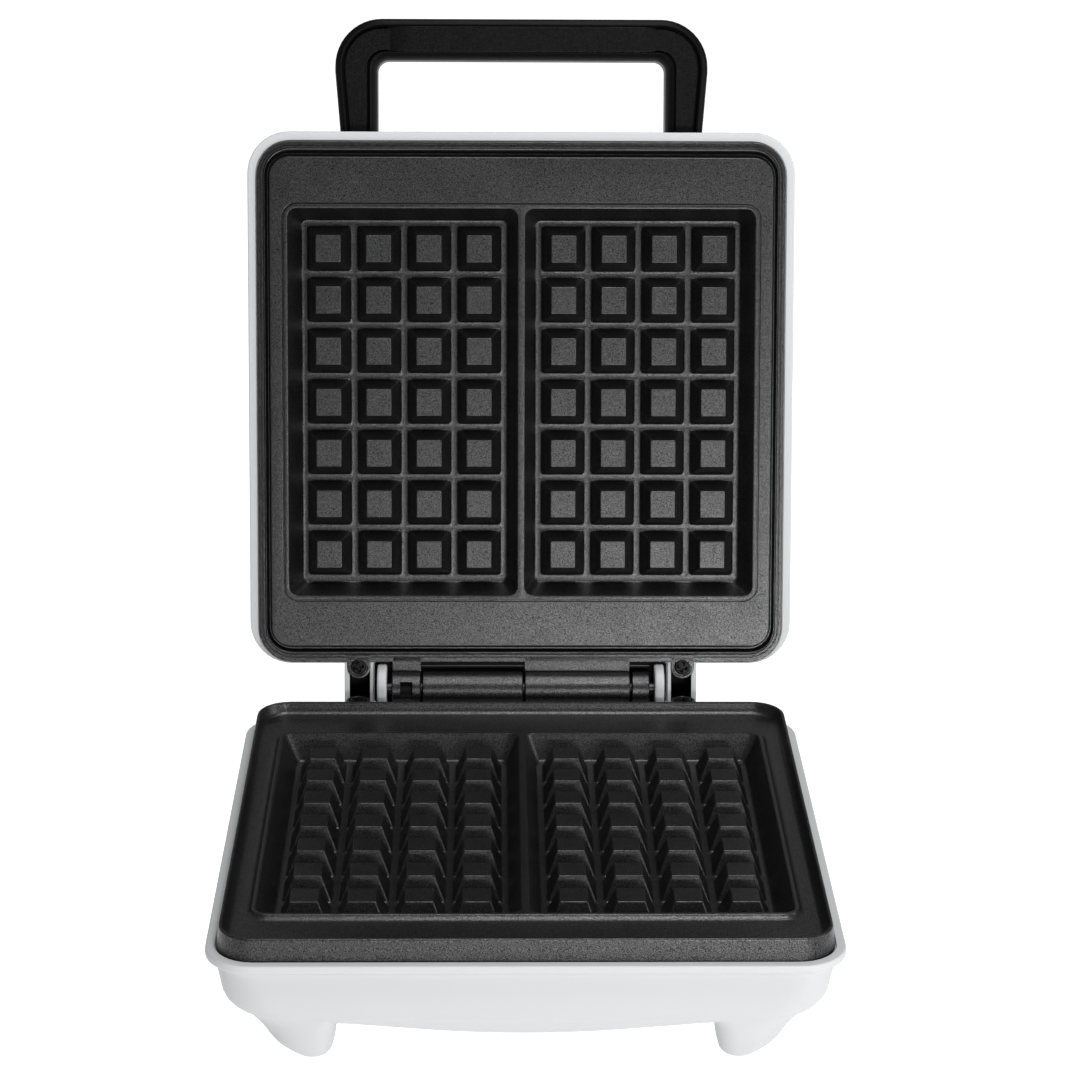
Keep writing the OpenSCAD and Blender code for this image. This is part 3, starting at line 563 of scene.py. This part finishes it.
# ---------------------------------------------------------------- upper plate
# Sections of the plate's edge as (inset, z, near), of the beads and channel inside it as
# (inset, z, ends), and of the waffles' rim as (out, z, radius).
UPPER_EDGE = (
    (6, 3.4, 0), (0.4, 3.4, 1), (0, 3.0, 1), (0, 0.85, 1), (0.12, 0.55, 1), (0.4, 0.4, 1),
    (1.6, 0.4, 0.3), (1.75, 0.55, 0.3), (1.8, 0.9, 0.3), (2.1, 0.9, 0.3), (2.15, 0.55, 0.3),
    (2.3, 0.4, 0.3),
)
UPPER_CHANNEL = (
    (3.0, 0.4, 2.7), (3.2, 0.2, 2.9), (3.45, -0.5, 3.15), (3.65, -0.75, 3.4),
    (3.85, -0.75, 3.75), (4.1, -0.5, 4.2), (4.35, 0.2, 4.6), (5.0, 2.2, 5.6),
    (5.3, 2.2, 6.1), (5.95, 0.2, 6.9), (6.25, -2.0, 7.2), (6.4, -2.4, 7.4), (6.8, -2.6, 7.8),
)
UPPER_RIM = (
    (1.0, -2.6, 7.6), (0.75, -2.45, 7.4), (0.6, -1.9, 7.2), (0.15, -1.9, 6.9),
    (0, -3.3, 6.6), (-0.15, -3.7, 6.3), (-0.5, -3.8, 5.5),
)
b = Build()
b.loops([plate_loop(inset, z, near=near) for inset, z, near in UPPER_EDGE]
        + [plate_loop(*row) for row in UPPER_CHANNEL]
        + [rim_loop(*row) for row in UPPER_RIM])
waffles(b, -3.8, 8.3, -2.2)
knuckles(b, ((-62.2, -48.2), (1.9, 52.9)), (0.4, 3.4), (-58.2, -52.2))
ears(b, 0.4, 3.4, 1.8)
upper_plate = b.object("upper_plate_casting", lid_pt, "lid", "nonstick")
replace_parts(upper_plate, "upper_plate")
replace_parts(pan_heads("upper_plate_pan_heads", lid_pt, "lid", -0.3, -1, 15), "upper_plate_screws")
b = Build()
b.loops([plate_loop(6, 3.4), rim_loop(0, 3.4, 6.6), rim_loop(0, 10.9, 6.6)], end=True)
b.object("upper_plate_back", lid_pt, "lid", "nonstick")


# ---------------------------------------------------------------- base housing
# x beyond which the belly reaches the feet's height, and the sum of a front and a rear
# foot's distances from the hinge axis.
BOW_X, FEET_SUM = 80, 279.6


def shell_loop(ix, iy, iy_back, rad, z, lift=None):
    """Loop round a housing, inset by ix at the sides, iy in front and iy_back at the hinge."""
    return rect(-SHELL_HW + ix, SHELL_HW - ix, SHELL_NEAR + iy_back, SHELL_FAR - iy, rad, z,
                CORNER_STEPS, SIDE_STEPS, lift)


def bowed(low, side):
    """Height above low across the width: none in the middle, and up to side where the feet are."""
    return lambda x, y: (side - low) * min(1, x * x / BOW_X ** 2)


def mouth(out, z):
    """Loop round the opening that a plate sits in."""
    return rect(-PLATE_HW - out, PLATE_HW + out, PLATE_NEAR - out, PLATE_FAR + out, PLATE_R + out,
                z, CORNER_STEPS, SIDE_STEPS)


# The opening as (out, z), the wall as (ix, iy, iy_back, radius, z), and the bowed belly as
# (ix, iy, radius, z in the middle, z at the sides).
BASE_MOUTH = ((-5, -14.4), (-5, -12.05), (0.5, -12.05), (0.5, -10.35), (0.65, -10.1), (0.95, -10))
BASE_WALL = (
    (0.8, 0.8, 0.35, 19.3, -10), (0.35, 0.35, 0.2, 19.7, -10.12), (0.1, 0.1, 0.05, 19.9, -10.4),
    (0, 0, 0, 20, -10.9), (0, 0, 0, 20, -12.8), (0.15, 0.15, 0.15, 20, -13.25),
    (0.7, 0.7, 0.7, 19.8, -13.7), (1.8, 1.8, 1.8, 19.3, -14.1), (3.0, 3.0, 3.0, 18.8, -14.9),
    (3.9, 3.9, 3.9, 18.4, -16.3), (4.35, 4.35, 4.3, 18.2, -18.2), (4.6, 4.6, 4.6, 18.5, -21),
    (5.3, 5.1, 5.1, 19.5, -26), (5.9, 5.8, 5.8, 20.5, -31), (6.8, 6.8, 6.8, 22.5, -35),
    (7.9, 7.7, 7.7, 24.5, -37.6), (9.2, 8.5, 8.5, 26, -39.1), (10.4, 9.4, 9.4, 27, -39.9),
)
BASE_BELLY = (
    (12.4, 10.3, 28.5, -41.7, -40.8), (15, 11.7, 30, -44.2, -41.6), (18.5, 13.8, 32, -46.9, -42.3),
    (22, 16.6, 34, -49.1, -42.8), (26, 19.8, 36, -50.25, -43.1), (30, 23.4, 37, -50.5, -43.2),
    (33, 26, 38, -50.2, -43.2), (35, 28, 38, -49.2, -43.2), (36.5, 29.5, 38, -47.7, -43.2),
    (39, 31.5, 38, -47.1, -43.2), (64, 60, 30, -47, -43.2), (100, 95, 16, -47, -43.2),
    (125, 120, 4, -47, -43.2),
)
b = Build()
b.loops([mouth(*row) for row in BASE_MOUTH]
        + [shell_loop(*row) for row in BASE_WALL]
        + [shell_loop(ix, iy, iy, rad, low, bowed(low, side))
           for ix, iy, rad, low, side in BASE_BELLY], end=True)
# One foot from top to bottom: (z, inner x, outer x, front, rear, outer radius, inner radius).
FOOT = (
    (-35.5, 66.0, 122.5, 259.4, 216, 24, 9), (-37.0, 69.0, 122.6, 259.7, 218, 24.5, 9),
    (-38.6, 72.5, 121.6, 259.2, 220, 25.5, 9), (-39.9, 75.0, 120.5, 258.8, 222, 26.5, 9),
    (-41.6, 76.4, 118.4, 258.4, 223.5, 27, 9), (-43.3, 77.2, 116.0, 257.9, 225, 26.5, 9),
    (-45.3, 77.7, 113.2, 257.3, 227, 25, 9), (-47.5, 78.0, 110.6, 256.7, 229, 23, 9),
    (-49.5, 78.2, 108.4, 256.1, 231, 21, 9), (-51.1, 78.4, 106.9, 255.6, 232.7, 18.5, 9),
    (-52.6, 78.7, 105.2, 255.2, 234.3, 16, 8.6), (-54.2, 79.1, 103.2, 254.9, 235.8, 13, 8.2),
    (-55.8, 79.5, 100.6, 254.5, 237.0, 10.3, 8), (-57.1, 79.9, 97.8, 254.2, 237.8, 8.4, 7.8),
    (-57.9, 80.3, 96.3, 253.9, 238.2, 7.8, 7.7), (-58.3, 80.7, 95.6, 253.5, 238.7, 7.3, 7.3),
    (-58.44, 81.2, 95.0, 253.0, 239.2, 6.8, 6.8),
)
for s in (-1, 1):
    for back in (False, True):
        rings = []
        for z, x_in, x_out, front, rear, r_out, r_in in FOOT:
            r_out = min(r_out, x_out - x_in - r_in - 0.2, front - rear - 7.4)
            small = min(r_out, 7.2)
            rad = (r_out, min(12, front - rear - r_out - 0.2), small, r_in)
            if s < 0:
                x_in, x_out, rad = -x_out, -x_in, (rad[3], rad[2], rad[1], rad[0])
            ring = rect(x_in, x_out, rear, front, rad, z, 9)
            if back:
                ring = [(px, -(FEET_SUM + py), pz) for px, py, pz in ring]
            rings.append(ring)
        b.loops(rings, end=True)
base = b.object("base_housing", base_pt, "base", "shell_white", sharp=50)
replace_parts(base, "base_shell")

# The hinge tower: a rear wall, a floor, two cheeks beside the knuckles, the bosses under the
# ears and the sleeve round the cord's opening. wall_shade_strip and cheek_gap_shade are only looks:
# they paint shade on the rear wall's top and in the gaps beside the cheeks.
TOWER_X, CHEEK_IN = 69.3, 64.7
b = Build()
wall = [(-TOWER_X, -16)] + arc(-64.3, 4, 5, math.pi, math.pi / 2, 8)
wall += arc(64.3, 4, 5, math.pi / 2, 0, 8) + [(TOWER_X, -16)]
b.loops([[(x, y, z) for x, z in wall] for y in (9.4, 12.4)], True, True)
b.box(-69.1, 69.1, -12.2, 20, -15.8, -11, 0.3)
cheek = [(-9, -16)] + arc(-1, 2.5, 8, math.pi, math.pi / 2, 12)
cheek += arc(5, 6.5, 4, math.pi / 2, 0, 8) + [(9.5, -16)]
for x0, x1 in ((-TOWER_X, -CHEEK_IN), (CHEEK_IN, TOWER_X)):
    b.slab_x(cheek, x0, x1, 1.4)
for s in (-1, 1):
    b.box(s * EAR_X - 4.6, s * EAR_X + 4.6, 5.8, 12.9, -32, -5.4, 0.4)
# Painted shade: a dark strip over the front of the rear wall's top, for white plastic in the lid's shadow.
wall_shade = Build()
wall_shade.box(-64.6, 64.6, -9.6, -8.17, 6.95, 8.75, 0.35)
wall_shade.object("wall_shade_strip", base_pt, "base", "pin_steel", sharp=40)
# Painted shade: black sheets in the gaps on either side of each cheek, where the gaps fall in shadow.
gap_shade = Build()
for s in (-1, 1):
    gap_shade.box(*sorted((s * 62.7, s * 70.9)), -8.4, -7.5, -10.9, 12.3, 0.15)
gap_shade.object("cheek_gap_shade", base_pt, "base", "liner_black", sharp=40)
turns = [2 * math.pi * i / 48 for i in range(48)]
sleeve = ((11, -24), (11, -14.3), (10.7, -14), (6.05, -14), (6.05, -24))
b.loops([[(rr * math.cos(a), y, -29 + rr * math.sin(a)) for a in turns] for rr, y in sleeve])
b.object("hinge_tower", base_pt, "base", "shell_white", sharp=40)


# ---------------------------------------------------------------- lid housing
# x of the points on the lid's near side, from right to left. The notch round the hinge ends
# at NOTCH_X, and the points past it are spread over what is left of the straight side.
NOTCH_X, NOTCH_BACK = 70.35, -15.3
NOTCH = (105, 90, NOTCH_X, 70.2, 56, 42, 28, 0, -28, -42, -56, -70.2, -NOTCH_X, -90, -105)
SPREAD_START, SPREAD_LENGTH = 75, 45


def notched(ring, cut):
    """Lid loop whose near side has points at the hinge notch, set back where cut is true."""
    first = 2 * (CORNER_STEPS + 1) + SIDE_STEPS - 1
    ring = list(ring)
    straight = abs(ring[first - 1][0])
    for i, x in enumerate(NOTCH):
        if abs(x) > 71:
            share = (abs(x) - SPREAD_START) / SPREAD_LENGTH
            x = math.copysign(NOTCH_X + (straight - NOTCH_X) * share, x)
        y = ring[first + i][1]
        if cut and abs(x) < 70.3:
            y = min(y, NOTCH_BACK)
        ring[first + i] = (x, y, ring[first + i][2])
    return ring


# The opening as (out, z), and the lid's wall and top as (ix, iy, iy_back, radius, z).
LID_MOUTH = ((-5, 6.4), (-5, 3.5), (0.5, 3.5), (0.5, 2.9), (0.6, 2.68), (0.85, 2.6))
LID_WALL = (
    (0.9, 0.9, 0.3, 19.2, 2.6), (0.4, 0.4, 0.15, 19.6, 2.72), (0.1, 0.1, 0.05, 19.9, 3.05),
    (0, 0, 0, 20, 3.6), (0, 0, 0, 20, 5.9), (0.25, 0.25, 0.25, 19.8, 6.4),
    (1.0, 1.0, 1.0, 19.3, 6.75), (2.2, 2.2, 2.2, 18.6, 7.1), (2.9, 2.9, 2.9, 18.2, 8.0),
    (3.15, 3.15, 3.15, 18.1, 10), (3.4, 3.4, 3.4, 18.3, 14), (4.2, 4.2, 4.0, 19.5, 20),
    (6.2, 5.8, 5.6, 22, 25), (9.6, 8.8, 8.4, 25, 29), (14.2, 12.8, 12.2, 29, 32.2),
    (20, 18, 17, 33, 34.8), (28, 25, 24, 36, 36.6), (38, 35, 33, 38, 37.6),
    (56, 52, 50, 34, 38), (100, 95, 95, 16, 38), (125, 120, 120, 4, 38),
)
# Loops with a half width over this get the notch's points; those below this z are cut by it.
NOTCH_REACH, NOTCH_HEIGHT = 110, 8.1
b = Build()
lid_rings = [mouth(*row) for row in LID_MOUTH] + [shell_loop(*row) for row in LID_WALL]
for k, ring in enumerate(lid_rings):
    if max(p[0] for p in ring) > NOTCH_REACH:
        lid_rings[k] = notched(ring, ring[0][2] < NOTCH_HEIGHT)
b.loops(lid_rings, end=True)
lid = b.object("lid_housing", lid_pt, "lid", "shell_white", sharp=50)
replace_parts(lid, "lid_shell")

b = Build()
# The lid's two legs beside the hinge, in (y, z): side walls shaped as leg, and between them
# a strip from leg's outline to void's.
leg = [(-24, 3.7), (-12.9, 3.7), (-12.9, 1), (9, 1), (9, 10)]
leg += arc(0, 10, 9, 0, math.pi / 2, 12)[1:] + [(-24, 19)]
void = [(-20, 1), (6.5, 1), (6.5, 10)] + arc(0, 10, 6.5, 0, math.pi / 2, 12)[1:] + [(-20, 16.5)]
for s in (-1, 1):
    for x0, x1 in ((71.3, 73), (82.8, 85.3)):
        b.slab_x(leg, *sorted((s * x0, s * x1)), 0.4)
    spans = [s * 72.8, s * 83]
    strip_out = leg[3:]
    strip_in = void[1:-1] + [(-24, 16.5)]
    b.loops([[(x, y, z) for x in spans] for y, z in strip_out + strip_in[::-1]], closed=False)
    b.lathe(s * EAR_X, -EAR_R, [(1.6, 12), (1.6, 4.2), (1.9, 4), (3.7, 4), (4, 4.3), (4, 17)])
b.object("lid_legs", lid_pt, "lid", "shell_white", sharp=40)
b = Build()
# Painted shade: a black lining inside the legs, and a black rib beside each, stand in for the legs' white plastic
# in shadow; both are only looks.
LEG_SHADE_X = (73.15, 82.65)
leg_shade_outline = [(6.3, 1.4), (6.3, 10)] + arc(0, 10, 6.3, 0, math.pi / 2, 12)[1:]
leg_shade_outline += [(-19.8, 16.3), (-19.8, 4.2), (-12.6, 4.2)]
for s in (-1, 1):
    b.loops([[(s * x, y, z) for x in LEG_SHADE_X] for y, z in leg_shade_outline], closed=False)
    for x in LEG_SHADE_X:
        k = len(b.v)
        b.v += [(s * x, y, z) for y, z in leg_shade_outline + [(-12.6, 1.4)]]
        b.f.append(tuple(range(k, len(b.v))))
    b.box(*sorted((s * 69.6, s * 71.5)), -8.8, 20, 15.5, 17, 0.2)
b.object("lid_leg_painted_shade", lid_pt, "lid", "liner_black", sharp=40)


# ---------------------------------------------------------------- handle
# Half width, top and corner radius of the arch's outer edge, then of its opening.
ARCH_HW, ARCH_TOP, ARCH_R = 89.2, 321.2, 22.5
HOLE_HW, HOLE_TOP, HOLE_R = 69, 301.6, 5.3


def arch(do, di, z, r0=246.0):
    """Loop round the arch: do insets its outer edge, di its inner edge, and r0 is where it starts."""
    def flare(r):
        return ARCH_HW if r > 296 else 86.9 + 2.3 * (r - 268) / 28

    rad, top, hw = ARCH_R - do, ARCH_TOP - do, ARCH_HW - do
    outer = [(flare(r0) - do, -r0), (flare(282) - do, -282), (hw, -296)]
    outer += arc(hw - rad, -(top - rad), rad, 0, -math.pi / 2, 12)
    q, inner_top, ihw = HOLE_R + di * 0.6, HOLE_TOP + di, HOLE_HW + di
    inner = [(ihw, -r0), (ihw, -282), (ihw, -(inner_top - q) + 2)]
    inner += arc(ihw - q, -(inner_top - q), q, 0, -math.pi / 2, 12)
    pts = outer + [(-x, y) for x, y in reversed(outer)]
    pts += [(-x, y) for x, y in inner] + list(reversed(inner))
    return [(x, y, z) for x, y in pts]


# Sections of the arch as (do, di, z), and of the sunk inlay as (do, di, z, r0).
ARCH = (
    (3.8, 4.1, 14.8), (3.8, 4.1, 11.5), (3.7, 3.95, 11.15), (3.3, 3.75, 10.4), (2.95, 3.6, 10.1),
    (2.7, 3.45, 10), (2.5, 3.3, 10.05), (1.6, 2.7, 10.5), (0.8, 2.1, 11.1), (0.3, 1.5, 11.9),
    (0.05, 0.9, 12.9), (0, 0.4, 14.0), (0, 0.1, 14.9), (0, 0, 16), (0, 0, 28.5),
    (0.2, 0.2, 29.8), (0.8, 0.8, 31), (1.7, 1.7, 31.75), (3, 3, 32),
)
INLAY = (
    (4.7, 4.9, 14.7, 264.5), (4.7, 4.9, 12.5, 264.5), (4.8, 5.0, 12.2, 264.6),
    (5.1, 5.3, 12.05, 264.8),
)
b = Build()
b.loops([arch(*row) for row in ARCH], True, True)
handle = b.object("handle_arch", lid_pt, "lid", "handle_black", sharp=40)
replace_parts(handle, "handle")
b = Build()
b.loops([arch(*row) for row in INLAY], end=True)
# The raised grip in the middle of the inlay, which fades out towards its ends.
GRIP_HW, GRIP_FADE, GRIP_STEPS = 64, 6, 24
grip = []
for i in range(GRIP_STEPS + 1):
    x = -GRIP_HW + 2 * GRIP_HW * i / GRIP_STEPS
    t = min(1, max(0, (GRIP_HW - abs(x)) / GRIP_FADE))
    top = 12.5 - 2.3 * t * t * (3 - 2 * t)
    grip.append([
        (x, -305.55, 12.9), (x, -305.55, top + 0.12), (x, -305.8, top), (x, -306.3, top),
        (x, -316.8, top), (x, -317.2, top), (x, -317.5, top + 0.12), (x, -317.5, 12.9),
    ])
b.loops(grip, True, True)
inlay = b.object("handle_inlay_strip", lid_pt, "lid", "inlay_black", sharp=40)
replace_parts(inlay, "handle_inlay")

# ---------------------------------------------------------------- foot pads
PAD = (
    (0.01, -60), (4.0, -60), (5.4, -59.78), (6.5, -59.25), (7.2, -58.5), (7.3, -58.0),
    (0.01, -58.0),
)
b = Build()
for x in (-88, 88):
    for r in (246, 34):
        b.lathe(x, -r, PAD)
pads = b.object("foot_pad_domes", base_pt, "base", "pad_grey", sharp=60)
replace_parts(pads, "foot_pads")

# ---------------------------------------------------------------- eased edges on CAD nodes that stay
EDGES = (
    ("hinge_pin", 0.0003), ("base_bottom_cover", 0.0004), ("cord_gland", 0.0005),
    ("bottom_cover_screws", 0.0002), ("power_lens", 0.0003), ("ready_lens", 0.0003),
)
for name, width in EDGES:
    edge = frame["nodes"][name].modifiers.new("edge", "BEVEL")
    edge.width = width
    edge.segments = 2
    edge.angle_limit = math.radians(40)

# ---------------------------------------------------------------- floor
bpy.ops.mesh.primitive_plane_add(size=60, location=(0, 0, 0))
floor = bpy.context.object
floor.name = "floor"
floor.data.materials.append(
    material("studio_floor", (0.4, 0.4, 0.4), 0.7, grain=0.05, mottle=0.01, glow=0.97))
